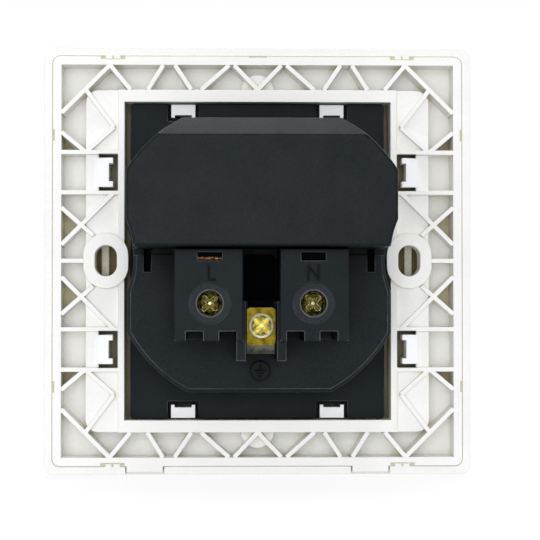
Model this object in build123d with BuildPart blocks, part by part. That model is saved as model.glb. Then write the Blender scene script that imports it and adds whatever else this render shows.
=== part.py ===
from build123d import *
import os

os.makedirs("parts", exist_ok=True)

# Lengths are in millimetres. The plate stands in the XZ plane with +Z up. Depth runs
# along +Y from the wall plane: negative is towards the room, positive is into the wall box.
# Sketches seen from behind use u (to the right) and v (up).
WALL = Plane(origin=(0, 0, 0), x_dir=(-1, 0, 0), z_dir=(0, 1, 0))
# Side section: v across, depth up. Section seen from above: u across, depth up.
SIDE = Plane(origin=(0, 0, 0), x_dir=(0, 0, 1), z_dir=(-1, 0, 0))
OVER = Plane(origin=(0, 0, 0), x_dir=(-1, 0, 0), z_dir=(0, 0, -1))
SIDES = (-1, 1)

# Face cover
plate_size = 86.0
plate_corner = 2.5
plate_depth = 9.5
cover_skin = 2.0
cover_taper = 5.0
cover_setback = 0.6
cover_band = 1.6
cover_edge_round = 1.2
window_fit = 0.3
cover_fit = 0.15

# Mounting frame
frame_inset = 2.3
frame_corner = 1.5
rim_wall = 1.7
rim_setback = 0.4
frame_skin = 1.3
rib_wall = 0.85
opening_fit = 0.15
border_wall = 1.2
pocket_wall = 1.2
plateau_skin = 1.6
plateau_setback = 1.4
plateau_corner = 2.5
half_boss_r = 3.3
rung_high = 21.6
rung_low = 13.6
brace_v = 26.6
side_strut_v = 25.6
cross_high = 10.6
cross_low = 3.2
cross_foot_reach = 2.5
cross_foot_v = 5.0
# Legs of the zigzag ribs, each by where it stands at the border and at the rim
zigzag = ((0.0, 4.7), (11.3, 5.7), (13.2, 16.5), (21.9, 18.8), (25.3, 29.4))
# Openings in the skin beside the rim: low and high end at the rim, then the inner point
# as a share of the strip's width and its height
skin_openings = ((4.2, 9.6, 0.62, 7.0), (22.3, 24.8, 0.56, 22.3))

# Wall screw slots and their bosses, which stand a little into the opening
slot_pitch = 60.3
slot_w = 4.4
slot_h = 6.2
boss_w = 8.9
boss_h = 11.0
boss_fit = 0.2
boss_overhang = 0.8
screw_head_room = 11.0

# Snap windows in the frame and the hooks in them, waisted in the middle
snap_window_gap = 0.15
snap_window_w = 3.8
snap_window_h = 7.4
snap_v = 17.6
hook_gap = 0.95
hook_wall = 2.1
hook_h = 5.8
hook_barb = 1.2
hook_tip = 1.0
hook_waist = 0.8
hook_waist_h = 3.6

# Teeth that hold the face cover on the frame rim
tooth_u = 28.8
tooth_notch_w = 4.8
tooth_w = 1.3
tooth_reach = 0.45
tooth_depth = 2.2
side_notch_v = 25.0
side_notch_w = 2.2
side_notch_bite = 0.35
notch_bite = 0.6
top_slit_w = 3.6
top_slit_bite = 0.2

# Pry tabs at the bottom edge
pry_u = 22.4
pry_w = 7.2
pry_depth = 2.0
pry_reach = 1.2
pry_fit = 0.25

# Front insert
insert_proud = 2.0
bezel_lap = 0.05
bezel_wall = 1.6
bezel_corner = 3.0
bezel_round = 0.8
face_skin = 2.0
insert_lap_u = 6.3
insert_lap_v = 1.0
insert_flange_thick = 1.6
insert_flange_fit = 0.2
well_r = 19.5
well_depth = 17.5
well_wall = 1.2
well_floor = 1.4
pin_pitch = 19.0
pin_hole_r = 2.7
key_w = 4.6
key_reach = 2.2
key_setback = 3.0

# Clips of the insert, which come up through slots in the base's edge recesses
clip_u = 14.85
clip_inset = 1.45
clip_w = 4.8
clip_h = 2.6
clip_notch_w = 3.4
clip_notch_h = 0.5
clip_rise = 0.4
clip_fit = 0.12
clip_recess_room = 0.7
clip_recess = 1.6

# Socket base: its tub holds the well below and the ports above, one over the other
base_gap = 0.3
base_flange_thick = 2.8
base_flange_margin = 5.95
base_flange_corner = 0.8
tub_side_gap = 1.1
tub_wall = 1.5
well_gap = 0.35
port_gap = 0.25
port_wall_gap = 0.4
port_corner_gap = 0.1
back_gap = 1.0
back_wall = 1.8
edge_slope = 40.0
edge_slope_depth = 0.8
sill_w = 1.1
pinch_bite = 1.2
pinch_r = 16.0

# Terminal blocks of the base
tower_near = 3.4
tower_far = 15.9
tower_low = -15.3
tower_top = 1.7
tower_rise = 16.0
tower_wall = 1.5
tower_round = 0.3
collar_d = 7.4
collar_rise = 0.3
collar_round = 0.2
driver_hole_d = 4.7
peep_w = 4.5
peep_h = 1.55
peep_v = 0.2
wire_notch_w = 3.2
wire_notch_h = 1.8
wire_notch_near = 4.6
wire_notch_far = 13.9
wire_notch_rise = 1.0

# Live and neutral terminals: the screw turns in place and draws the clamp up
terminal_v = -8.4
screw_r = 1.95
thread_fit = 0.05
head_r = 2.6
head_h = 2.1
head_round = 1.2
head_fit = 0.4
recess_w = 0.8
recess_l = 3.7
recess_depth = 1.1
clamp_travel = 2.4
clamp_half_w = 4.2
clamp_l = 4.6
clamp_side = 1.2
clamp_thread_wall = 2.0
clamp_floor = 1.2
clamp_gap = 0.3
contact_sheet = 0.8
tail_sheet = 1.2
tail_half_w = 2.4
tail_rise = 3.8
tail_low = -12.4
fork_gap = 4.4
fork_low = -5.8
fork_top = -0.6
fork_front_fit = 0.4
fork_rear_fit = 1.1

# Earth terminal
earth_v = -12.5
earth_sheet = 0.8
earth_w = 5.3
earth_plate_rise = 9.6
earth_plate_low = -17.9
earth_plate_top = -9.4
earth_bend = 1.2
earth_fit = 0.25
saddle_top = -9.2
saddle_low = -16.15
saddle_thick = 1.0
saddle_gap = 1.6
saddle_corner = 0.7
earth_head_r = 2.33
earth_head_h = 2.2
earth_screw_below = 3.4
earth_wall_outer = 4.6
earth_wall_low = -19.0
earth_wall_top = -8.0
earth_wall_rise = 14.0
clip_finger_reach = 1.7
clip_finger_depth = -3.0

# Charger cover
box_overhang = 0.3
box_side_step = 0.75
box_low = 2.0
box_rise = 20.0
box_wall = 1.5
box_pinch = 1.0
box_chamfer_v = 3.3
box_chamfer_d = 3.0
box_round = 0.5
latch_inset = 3.9
latch_w = 1.4
latch_slot_low = -2.4
latch_reach = 3.0
latch_fit = 0.1

# USB ports
port_u = 7.4
port_w = 13.1
port_h = 5.6
port_sheet = 0.3
port_l = 14.0
port_inset = 0.2
port_fit = 0.15
tongue_w = 11.1
tongue_h = 1.84
tongue_l = 11.0
tongue_block = 2.0
tongue_fit = 0.1

# Circuit boards and what stands on them
board_thick = 1.6
board_fit = 0.4
board_ledge = 2.5
port_board_thick = 1.2
port_board_w = 27.4
port_board_h = 5.4
coil_u = -5.0
coil_v = 13.5
coil_half_w = 4.8
coil_half_h = 4.7
coil_l = 8.4
coil_fit = 0.1
core_plate = 1.5
core_half_h = 2.8
core_leg = 2.4
core_center_leg = 4.0
input_cap_d = 8.0
input_cap_l = 13.0
input_cap_place = (9.0, 17.0)
output_cap_d = 6.3
output_cap_l = 9.0
output_cap_place = (16.5, 9.0)
cap_round = 0.5
rectifier_size = (6.0, 5.0, 2.4)
rectifier_place = (-17.0, 8.5)
chip_size = (5.0, 4.0, 1.5)
chip_place = (5.0, 8.0)
fuse_d = 3.0
fuse_l = 7.0
fuse_place = (-17.0, 16.0)
header_pitch = 2.0
header_pins = 4
header_pin = 0.64
header_h = 2.0
header_base = 2.5
lead_d = 1.2
lead_v = 6.0
lead_start = 14.0
lead_bend = 1.4

# Widths and heights, from the wall screws and the plug well outwards
opening_w = slot_pitch - boss_w + 2 * boss_overhang
tub_w = opening_w - 2 * tub_side_gap
tub_h = 2 * (tub_wall + well_r + well_wall) + well_gap + port_gap + port_h + port_wall_gap
well_v = tub_wall + well_gap + well_wall + well_r - tub_h / 2
port_v = tub_h / 2 - tub_wall - port_wall_gap - port_h / 2
port_corner_r = ((port_u + port_w / 2) ** 2 + (port_v + port_h / 2) ** 2) ** 0.5
tub_r = port_corner_r + port_corner_gap + tub_wall
box_r = tub_r + box_overhang
base_flange_h = tub_h + 2 * base_flange_margin
bezel_w = opening_w - 2 * opening_fit
bezel_h = base_flange_h + 2 * bezel_lap
opening_h = bezel_h + 2 * opening_fit
clip_v = base_flange_h / 2 - clip_inset
box_w = tub_w - 2 * box_side_step
box_top = tub_h / 2
latch_u = tub_w / 2 - latch_inset
frame_size = plate_size - 2 * frame_inset
rim_inner = frame_size / 2 - rim_wall
cover_inner = frame_size / 2 + cover_fit
border_u = opening_w / 2 + border_wall
insert_half_u = opening_w / 2 + insert_lap_u
insert_half_v = opening_h / 2 + insert_lap_v
pocket_half_u = insert_half_u + insert_flange_fit
pocket_half_v = insert_half_v + insert_flange_fit
pocket_outer_u = pocket_half_u + pocket_wall
pocket_outer_v = pocket_half_v + pocket_wall
snap_window_near = border_u + snap_window_gap
hook_near = snap_window_near + hook_gap
hook_far = hook_near + hook_wall

# Depths, from the face cover back to the charger box
cover_front = -plate_depth
cover_back = cover_front + cover_skin
frame_rear = -rim_setback
plateau_rear = -plateau_setback
flange_seat = cover_back + insert_flange_thick
insert_front = cover_front - insert_proud
well_floor_front = insert_front + well_depth
well_floor_rear = well_floor_front + well_floor
base_front = flange_seat + base_gap
base_flange_depth = base_front + base_flange_thick
back_front = well_floor_rear + earth_sheet + back_gap
back_depth = back_front + back_wall
tower_depth = back_depth + tower_rise
box_depth = back_depth + box_rise
tail_front = back_depth + tail_rise
wire_notch_floor = back_depth + wire_notch_rise
earth_plate_depth = back_depth + earth_plate_rise
earth_wall_depth = back_depth + earth_wall_rise
chamber_rear = tower_depth - tower_wall
chamber_near = tower_near + tower_wall
chamber_far = tower_far - tower_wall
chamber_low = tower_low + tower_wall
chamber_top = tower_top - tower_wall
terminal_u = pin_pitch / 2
head_rear = chamber_rear - head_fit
head_front = head_rear - head_h
tail_rear = tail_front + tail_sheet
fork_front = back_front + fork_front_fit
fork_rear = chamber_rear - fork_rear_fit
clamp_rear = head_front - clamp_travel - clamp_gap / 2
clamp_front = tail_front - clamp_gap - clamp_travel - clamp_floor
earth_plate_front = earth_plate_depth - earth_sheet
saddle_front = earth_plate_depth + saddle_gap
saddle_rear = saddle_front + saddle_thick
earth_wall_near = earth_w / 2 + earth_fit
port_front = insert_front + port_inset
port_rear = port_front + port_l
board_rear = back_depth + board_thick
box_inner_low = box_low + box_wall


def block(u_span, v_span, depth_span, mode=Mode.ADD):
    """Box between two u, two v and two depth values, in the part being built."""
    with BuildSketch(WALL.offset(depth_span[0])) as outline:
        with Locations((sum(u_span) / 2, sum(v_span) / 2)):
            Rectangle(abs(u_span[1] - u_span[0]), abs(v_span[1] - v_span[0]))
    extrude(outline.sketch, amount=depth_span[1] - depth_span[0], mode=mode)


def around(center, size):
    """Span of a size about its centre."""
    return (center - size / 2, center + size / 2)


def pair(u_span, v_span, depth_span, mode=Mode.ADD):
    """Two boxes, one each side of the upright centre line."""
    with BuildSketch(WALL.offset(depth_span[0])) as outline:
        with Locations((0, sum(v_span) / 2)):
            with GridLocations(sum(u_span), 0, 2, 1):
                Rectangle(u_span[1] - u_span[0], v_span[1] - v_span[0])
    extrude(outline.sketch, amount=depth_span[1] - depth_span[0], mode=mode)


def four(u_span, v_span, depth_span, mode=Mode.ADD):
    """Four boxes, one in each quarter of the plate."""
    with BuildSketch(WALL.offset(depth_span[0])) as outline:
        with GridLocations(sum(u_span), sum(v_span), 2, 2):
            Rectangle(u_span[1] - u_span[0], v_span[1] - v_span[0])
    extrude(outline.sketch, amount=depth_span[1] - depth_span[0], mode=mode)


def upright(u, v, radius, depth_span, mode=Mode.ADD):
    """Cylinder along the depth axis, in the part being built."""
    with BuildSketch(WALL.offset(depth_span[0])) as outline:
        with Locations((u, v)):
            Circle(radius)
    extrude(outline.sketch, amount=depth_span[1] - depth_span[0], mode=mode)


def ribs(lines, depth_span):
    """Straight ribs of the frame along lines given by their two ends."""
    with BuildSketch(WALL.offset(depth_span[0])) as outline:
        for start, end in lines:
            with BuildLine():
                Line(start, end)
            trace(line_width=rib_wall)
    extrude(outline.sketch, amount=depth_span[1] - depth_span[0])


def write(piece, name):
    """Name a finished piece and write it out."""
    piece.part.label = name
    export_step(piece.part, f"parts/{name}.step")


# Face cover: a tapered square dish with a window, held on the frame rim by small teeth
with BuildPart() as face_cover:
    with BuildSketch(WALL.offset(cover_front)):
        RectangleRounded(plate_size, plate_size, plate_corner)
    extrude(amount=cover_band)
    fillet(face_cover.faces().sort_by(Axis.Y)[0].edges(), cover_edge_round)
    with BuildSketch(WALL.offset(cover_front + cover_band)):
        RectangleRounded(plate_size, plate_size, plate_corner)
    extrude(amount=plate_depth - cover_band - cover_setback, taper=cover_taper)
    with BuildSketch(WALL.offset(cover_back)):
        RectangleRounded(2 * cover_inner, 2 * cover_inner, frame_corner + cover_fit)
    extrude(amount=plate_depth, mode=Mode.SUBTRACT)
    with BuildSketch(WALL.offset(cover_front)):
        RectangleRounded(bezel_w + 2 * window_fit, bezel_h + 2 * window_fit, bezel_corner + window_fit)
    extrude(amount=cover_skin, mode=Mode.SUBTRACT)
    pry_front = frame_rear - pry_depth - pry_fit
    pry_room = (-plate_size / 2, -cover_inner + pry_fit)
    pair(around(pry_u, pry_w + 2 * pry_fit), pry_room, (pry_front, 0), Mode.SUBTRACT)
    tooth_v = (frame_size / 2 - tooth_reach, cover_inner + cover_fit)
    for step in SIDES:
        tooth_u_span = around(tooth_u + step * tooth_notch_w / 6, tooth_w)
        four(tooth_u_span, tooth_v, (frame_rear - tooth_depth, -cover_setback))
write(face_cover, "face_cover")


# Mounting frame: a ribbed tray round the opening, with a pocket for the insert's flange
with BuildPart() as mounting_frame:
    with BuildSketch(WALL.offset(cover_back)):
        RectangleRounded(frame_size, frame_size, frame_corner)
    extrude(amount=frame_skin)
    with BuildSketch(WALL.offset(cover_back)):
        RectangleRounded(frame_size, frame_size, frame_corner)
        Rectangle(2 * rim_inner, 2 * rim_inner, mode=Mode.SUBTRACT)
    extrude(amount=frame_rear - cover_back)
    with BuildSketch(WALL.offset(cover_back)):
        RectangleRounded(2 * pocket_outer_u, 2 * pocket_outer_v, plateau_corner)
    extrude(amount=plateau_rear - cover_back)
    block((-border_u, border_u), (-pocket_outer_v, pocket_outer_v), (cover_back, frame_rear))

    # Zigzag ribs along the top and bottom strips
    hollow_rear = plateau_rear - plateau_skin
    rib_span = (cover_back, frame_rear)
    rib_lines = []
    for v in SIDES:
        upright(0, v * pocket_outer_v, half_boss_r, (cover_back, hollow_rear))
        for u in SIDES:
            for foot_u, apex_u in zigzag:
                rib_lines.append(((u * foot_u, v * pocket_outer_v), (u * apex_u, v * rim_inner)))

    # Corner diagonals, cross ribs and rungs of the side strips
    corner_leg = zigzag[-1][1]
    brace = (border_u + rib_wall, brace_v)
    cross_foot = (slot_pitch / 2 + cross_foot_reach, cross_foot_v)
    quarter_lines = [
        ((rim_inner, corner_leg), (corner_leg, rim_inner)),
        ((pocket_outer_u, pocket_outer_v), brace),
        (brace, (pocket_outer_u, rung_high)),
        ((rim_inner, side_strut_v), (pocket_outer_u, rung_high)),
        ((rim_inner, rung_high), (border_u, rung_high)),
        ((rim_inner, rung_low), (border_u, rung_low)),
        ((rim_inner, cross_high), cross_foot),
        ((rim_inner, cross_low), (brace[0], rung_low)),
    ]
    for u in SIDES:
        for v in SIDES:
            for start, end in quarter_lines:
                rib_lines.append(((u * start[0], v * start[1]), (u * end[0], v * end[1])))
        rib_lines.append(((u * rim_inner, 0), (u * slot_pitch / 2, 0)))
    ribs(rib_lines, rib_span)

    # Pocket for the insert's flange, hollows under the plateau and the opening
    pocket_u = around(0, 2 * pocket_half_u)
    pocket_v = around(0, 2 * pocket_half_v)
    block(pocket_u, pocket_v, (cover_back, flange_seat), Mode.SUBTRACT)
    pair((border_u, pocket_half_u), pocket_v, (flange_seat, hollow_rear), Mode.SUBTRACT)
    block(around(0, opening_w), around(0, opening_h), (cover_back, 0), Mode.SUBTRACT)

    # Screw bosses and their upright slots
    with BuildSketch(WALL.offset(base_front + boss_fit)):
        with GridLocations(slot_pitch, 0, 2, 1):
            SlotOverall(boss_h, boss_w, rotation=90)
    extrude(amount=-base_front - boss_fit)
    with BuildSketch(WALL.offset(cover_back)):
        with GridLocations(slot_pitch, 0, 2, 1):
            SlotOverall(slot_h, slot_w, rotation=90)
    extrude(amount=-cover_back, mode=Mode.SUBTRACT)

    # Snap windows and tooth notches in the rim
    window_u = (snap_window_near, snap_window_near + snap_window_w)
    window_v = around(snap_v, snap_window_h)
    four(window_u, window_v, (hollow_rear, 0), Mode.SUBTRACT)
    notch_span = (frame_rear - tooth_depth - cover_fit, 0)
    notch_edge = (frame_size / 2 - notch_bite, frame_size / 2)
    four(around(tooth_u, tooth_notch_w), notch_edge, notch_span, Mode.SUBTRACT)
    side_edge = (frame_size / 2 - side_notch_bite, frame_size / 2)
    four(side_edge, around(side_notch_v, side_notch_w), notch_span, Mode.SUBTRACT)
    slit_v = (frame_size / 2 - top_slit_bite, frame_size / 2)
    block(around(0, top_slit_w), slit_v, notch_span, Mode.SUBTRACT)

    # Three-cornered openings in the skin, between the rim and the ribs beside it
    with BuildSketch(WALL.offset(cover_back)):
        for u in SIDES:
            for v in SIDES:
                for low, high, share, point_v in skin_openings:
                    point_u = rim_inner - share * (rim_inner - pocket_outer_u)
                    with BuildLine():
                        Polyline(
                            (u * rim_inner, v * low),
                            (u * rim_inner, v * high),
                            (u * point_u, v * point_v),
                            close=True,
                        )
                    make_face()
    extrude(amount=frame_skin, mode=Mode.SUBTRACT)

    # Pry tabs that fill the gaps in the cover's bottom edge
    tab_v = (-frame_size / 2 - pry_reach, -rim_inner)
    pair(around(pry_u, pry_w), tab_v, (frame_rear - pry_depth, frame_rear))
write(mounting_frame, "mounting_frame")


# Front insert: the visible face with the plug well, its flange, snap hooks and clips
with BuildPart() as front_insert:
    with BuildSketch(WALL.offset(insert_front)):
        RectangleRounded(bezel_w, bezel_h, bezel_corner)
    extrude(amount=base_front - insert_front)
    fillet(front_insert.faces().sort_by(Axis.Y)[0].edges(), bezel_round)
    with BuildSketch(WALL.offset(cover_back)):
        RectangleRounded(2 * insert_half_u, 2 * insert_half_v, plateau_corner - pocket_wall)
    extrude(amount=insert_flange_thick)
    room_u = (border_u, insert_half_u)
    pair(room_u, around(0, screw_head_room), (cover_back, flange_seat), Mode.SUBTRACT)
    inner_w = bezel_w / 2 - bezel_wall
    inner_h = bezel_h / 2 - bezel_wall
    block((-inner_w, inner_w), (-inner_h, inner_h), (insert_front + face_skin, base_front), Mode.SUBTRACT)

    # Plug well with its two guide keys
    upright(0, well_v, well_r + well_wall, (insert_front + face_skin, well_floor_rear))
    upright(0, well_v, well_r, (insert_front, well_floor_front), Mode.SUBTRACT)
    for side in SIDES:
        key_u = (side * (well_r - key_reach), side * (well_r + well_wall / 2))
        block(key_u, around(well_v, key_w), (insert_front + key_setback, well_floor_front))
        upright(side * terminal_u, well_v, pin_hole_r, (well_floor_front, well_floor_rear), Mode.SUBTRACT)
        finger_v = (well_v + side * (well_r - earth_sheet), well_v + side * (well_r + 2 * well_wall))
        finger_depth = (insert_front + 2 * face_skin, well_floor_rear)
        block(around(0, earth_w + 2 * earth_fit), finger_v, finger_depth, Mode.SUBTRACT)

    # Mouths for the ports
    mouth_v = around(port_v, port_h + 2 * port_fit)
    mouth_depth = (insert_front, insert_front + face_skin)
    pair(around(port_u, port_w + 2 * port_fit), mouth_v, mouth_depth, Mode.SUBTRACT)

    # Snap hooks behind the flange
    for v in SIDES:
        with BuildSketch(OVER.offset(-v * snap_v)):
            for u in SIDES:
                with BuildLine():
                    Polyline(
                        (u * hook_near, flange_seat),
                        (u * hook_near, plateau_rear + hook_tip),
                        (u * (hook_near + hook_wall / 3), plateau_rear + hook_tip),
                        (u * (hook_far + hook_barb), plateau_rear + hook_tip / 3),
                        (u * (hook_far + hook_barb), plateau_rear),
                        (u * hook_far, plateau_rear),
                        (u * hook_far, flange_seat),
                        close=True,
                    )
                make_face()
        extrude(amount=hook_h / 2, both=True)
    waist_u = (hook_near, hook_near + hook_waist)
    four(waist_u, around(snap_v, hook_waist_h), (flange_seat, 0), Mode.SUBTRACT)

    # Clips at the bezel's end, each with a bite out of its inner side
    clip_depth = (base_front, base_flange_depth + clip_rise)
    clip_inner = clip_v - clip_h / 2
    four(around(clip_u, clip_w), around(clip_v, clip_h), clip_depth)
    bite_v = (clip_inner, clip_inner + clip_notch_h)
    four(around(clip_u, clip_notch_w), bite_v, clip_depth, Mode.SUBTRACT)
write(front_insert, "front_insert")


def pinch(inset):
    """Take a round bite from both sides of a sketch, beside the screw bosses."""
    with GridLocations(tub_w + 2 * (pinch_r - pinch_bite), 0, 2, 1):
        Circle(pinch_r + inset, mode=Mode.SUBTRACT)


def tub_outline(inset):
    """Circle clipped to a rectangle and pinched at its sides."""
    Circle(tub_r - inset)
    Rectangle(tub_w - 2 * inset, tub_h - 2 * inset, mode=Mode.INTERSECT)
    pinch(inset)


def box_outline(inset):
    """Outline of the charger box over the upper half of the tub, pinched at its sides."""
    Circle(box_r - inset)
    with Locations((0, (box_low + box_top) / 2)):
        Rectangle(box_w - 2 * inset, box_top - box_low - 2 * inset, mode=Mode.INTERSECT)
    pinch(box_pinch + inset)


# Socket base: flange, tub, terminal blocks and earth pedestal in one moulding
with BuildPart() as socket_base:
    with BuildSketch(WALL.offset(base_front)):
        RectangleRounded(tub_w, base_flange_h, base_flange_corner)
    extrude(amount=base_flange_thick)
    clip_recess_v = (clip_v - clip_h / 2 - clip_recess_room, base_flange_h / 2)
    clip_recess_span = (base_flange_depth - clip_recess, base_flange_depth)
    four(around(clip_u, clip_w + 2 * clip_recess_room), clip_recess_v, clip_recess_span, Mode.SUBTRACT)
    clip_slot_v = around(clip_v, clip_h + 2 * clip_fit)
    flange_span = (base_front, base_flange_depth)
    four(around(clip_u, clip_w + 2 * clip_fit), clip_slot_v, flange_span, Mode.SUBTRACT)
    slope_start = back_depth - edge_slope_depth
    with BuildSketch(WALL.offset(base_front)):
        tub_outline(0)
    extrude(amount=slope_start - base_front)
    with BuildSketch(WALL.offset(slope_start)):
        tub_outline(0)
    extrude(amount=edge_slope_depth, taper=edge_slope)
    sill_span = (slope_start, back_depth)
    block((-tub_w / 2, tub_w / 2), (box_low - sill_w, box_low), sill_span, Mode.SUBTRACT)
    with BuildSketch(WALL.offset(slope_start)):
        tub_outline(0)
        with Locations((0, box_low + tub_h / 2)):
            Rectangle(tub_w, tub_h, mode=Mode.INTERSECT)
    extrude(amount=edge_slope_depth)
    with BuildSketch(WALL.offset(base_front)):
        tub_outline(tub_wall)
    extrude(amount=back_front - base_front, mode=Mode.SUBTRACT)

    # Window behind the charger board and slots for the charger cover's latches
    with BuildSketch(WALL.offset(back_front)):
        tub_outline(tub_wall + board_ledge)
        with Locations((0, box_inner_low + board_ledge / 2 + tub_h / 2)):
            Rectangle(tub_w, tub_h, mode=Mode.INTERSECT)
    extrude(amount=back_wall, mode=Mode.SUBTRACT)
    latch_v = (latch_slot_low, box_inner_low)
    pair(around(latch_u, latch_w), latch_v, (back_front, back_depth), Mode.SUBTRACT)

    # Earth pedestal between the blocks, with its side walls
    block((-tower_near, tower_near), (earth_plate_low, earth_wall_top), (back_front, earth_plate_front))
    earth_wall_span = (back_front, earth_wall_depth)
    pair((earth_wall_near, tower_near), (earth_wall_low, earth_wall_top), earth_wall_span)
    pair((earth_wall_near, earth_wall_outer), (earth_wall_low, tower_low), earth_wall_span)
    leg_v = (earth_plate_low - earth_fit, earth_plate_low + earth_sheet + earth_bend)
    block((-earth_wall_near, earth_wall_near), leg_v, (back_front, earth_wall_depth), Mode.SUBTRACT)
    upright(0, earth_v, screw_r + earth_fit, (back_front, earth_plate_front), Mode.SUBTRACT)

    # Terminal blocks with their screw collars, chambers, peep slots and wire notches
    collar_top = tower_depth + collar_rise
    collar_span = (chamber_rear, collar_top)
    pair((tower_near, tower_far), (tower_low, tower_top), (back_front, tower_depth))
    fillet(socket_base.faces().group_by(Axis.Y)[-1].edges(), tower_round)
    for side in SIDES:
        upright(side * terminal_u, terminal_v, collar_d / 2, collar_span)
    chamber_v = (chamber_low, chamber_top)
    pair((chamber_near, chamber_far), chamber_v, (back_front, chamber_rear), Mode.SUBTRACT)
    for side in SIDES:
        upright(side * terminal_u, terminal_v, driver_hole_d / 2, collar_span, Mode.SUBTRACT)
    fillet(socket_base.faces().group_by(Axis.Y)[-1].edges(), collar_round)
    peep_depth = (chamber_rear, tower_depth)
    pair(around(terminal_u, peep_w), around(peep_v, peep_h), peep_depth, Mode.SUBTRACT)
    near_notch = (wire_notch_near, wire_notch_near + wire_notch_w)
    far_notch = (wire_notch_far - wire_notch_w, wire_notch_far)
    wire_notch_v = (tower_low, tower_low + wire_notch_h)
    for notch_u in (near_notch, far_notch):
        pair(notch_u, wire_notch_v, (wire_notch_floor, tower_depth), Mode.SUBTRACT)
write(socket_base, "socket_base")


# Charger cover: a box over the upper half, chamfered along its top and latched to the base
with BuildPart() as charger_cover:
    with BuildSketch(WALL.offset(back_depth)):
        box_outline(0)
    extrude(amount=box_rise)
    with BuildSketch(SIDE):
        with BuildLine():
            Polyline(
                (box_top - box_chamfer_v, box_depth),
                (box_top, box_depth - box_chamfer_d),
                (box_top, box_depth),
                close=True,
            )
        make_face()
    extrude(amount=box_w, both=True, mode=Mode.SUBTRACT)
    fillet(charger_cover.faces().sort_by(Axis.Y)[-1].edges(), box_round)
    offset(amount=-box_wall, openings=charger_cover.faces().sort_by(Axis.Y)[0])
    latch_v = (box_low, box_inner_low - latch_fit)
    pair(around(latch_u, latch_w - 2 * latch_fit), latch_v, (back_depth - latch_reach, back_depth))
write(charger_cover, "charger_cover")


def terminal(side, name):
    """Contact, clamp and screw of one pole; side is -1 or 1 along u."""
    u = side * terminal_u
    fork = fork_gap / 2
    with BuildPart() as contact:
        fork_span = (fork_front, fork_rear)
        fork_floor = fork_low + contact_sheet
        block(around(u, 2 * (fork + contact_sheet)), (fork_low, fork_top), fork_span)
        block(around(u, 2 * fork), (fork_floor, fork_top), fork_span, Mode.SUBTRACT)
        block(around(u, 2 * tail_half_w), (tail_low, fork_floor), (tail_front, tail_rear))
    write(contact, f"{name}_contact")

    with BuildPart() as clamp:
        clamp_v = around(terminal_v, clamp_l)
        block(around(u, 2 * clamp_half_w), clamp_v, (clamp_front, clamp_rear))
        clamp_room = (clamp_front + clamp_floor, clamp_rear - clamp_thread_wall)
        block(around(u, 2 * (clamp_half_w - clamp_side)), clamp_v, clamp_room, Mode.SUBTRACT)
        upright(u, terminal_v, screw_r + thread_fit, (clamp_room[1], clamp_rear), Mode.SUBTRACT)
    write(clamp, f"{name}_clamp")

    screw(u, terminal_v, tail_rear + thread_fit, head_front, head_rear, head_r, f"{name}_screw")


def screw(u, v, tip, seat, top, radius, name):
    """Screw along the depth axis with a rounded head and a cross recess."""
    with BuildPart() as body:
        upright(u, v, radius, (seat, top))
        fillet(body.faces().sort_by(Axis.Y)[-1].edges(), head_round)
        upright(u, v, screw_r, (tip, seat))
        with BuildSketch(WALL.offset(top)):
            with Locations((u, v)):
                for angle in (45, 135):
                    SlotOverall(recess_l, recess_w, rotation=angle)
        extrude(amount=-recess_depth, mode=Mode.SUBTRACT)
    write(body, name)


terminal(-1, "live")
terminal(1, "neutral")


# Earth strap: fingers into the plug well, a strip behind it and the terminal plate
with BuildPart() as earth_strap:
    strip_depth = well_floor_rear + earth_sheet / 2
    arm = well_r - earth_sheet / 2 + well_wall
    with BuildSketch(SIDE):
        with BuildLine():
            FilletPolyline(
                (well_v - arm + earth_sheet, 2 * clip_finger_depth),
                (well_v - arm + clip_finger_reach, clip_finger_depth),
                (well_v - arm, 0),
                (well_v - arm, strip_depth),
                (well_v + arm, strip_depth),
                (well_v + arm, 0),
                (well_v + arm - clip_finger_reach, clip_finger_depth),
                (well_v + arm - earth_sheet, 2 * clip_finger_depth),
                radius=earth_bend,
            )
        trace(line_width=earth_sheet)
        with BuildLine():
            FilletPolyline(
                (earth_plate_low + earth_sheet / 2, strip_depth),
                (earth_plate_low + earth_sheet / 2, earth_plate_depth - earth_sheet / 2),
                (earth_plate_top, earth_plate_depth - earth_sheet / 2),
                radius=earth_bend,
            )
        trace(line_width=earth_sheet)
    extrude(amount=earth_w / 2, both=True)
    upright(0, earth_v, screw_r + thread_fit, (earth_plate_front, earth_plate_depth), Mode.SUBTRACT)
write(earth_strap, "earth_strap")

with BuildPart() as earth_saddle:
    with BuildSketch(WALL.offset(saddle_front)):
        with Locations((0, (saddle_low + saddle_top) / 2)):
            RectangleRounded(earth_w, saddle_top - saddle_low, saddle_corner)
    extrude(amount=saddle_thick)
    upright(0, earth_v, screw_r + thread_fit, (saddle_front, saddle_rear), Mode.SUBTRACT)
write(earth_saddle, "earth_saddle")

earth_tip = earth_plate_front - earth_screw_below
screw(0, earth_v, earth_tip, saddle_rear, saddle_rear + earth_head_h, earth_head_r, "earth_screw")


# USB ports: a sheet shell and a contact tongue each, on a small board of their own
for side, name in ((1, "left"), (-1, "right")):
    u = side * port_u
    with BuildPart() as shell:
        block(around(u, port_w), around(port_v, port_h), (port_front, port_rear))
        inner_u = around(u, port_w - 2 * port_sheet)
        inner_v = around(port_v, port_h - 2 * port_sheet)
        block(inner_u, inner_v, (port_front, port_rear), Mode.SUBTRACT)
    write(shell, f"{name}_usb_shell")
    with BuildPart() as tongue:
        root_room = port_sheet + tongue_fit
        root_u = around(u, port_w - 2 * root_room)
        root_v = around(port_v, port_h - 2 * root_room)
        block(root_u, root_v, (port_rear - tongue_block, port_rear))
        tongue_depth = (port_rear - tongue_block - tongue_l, port_rear - tongue_block)
        tongue_v = around(port_v + tongue_h / 2, tongue_h)
        block(around(u, tongue_w), tongue_v, tongue_depth)
    write(tongue, f"{name}_usb_tongue")

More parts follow.
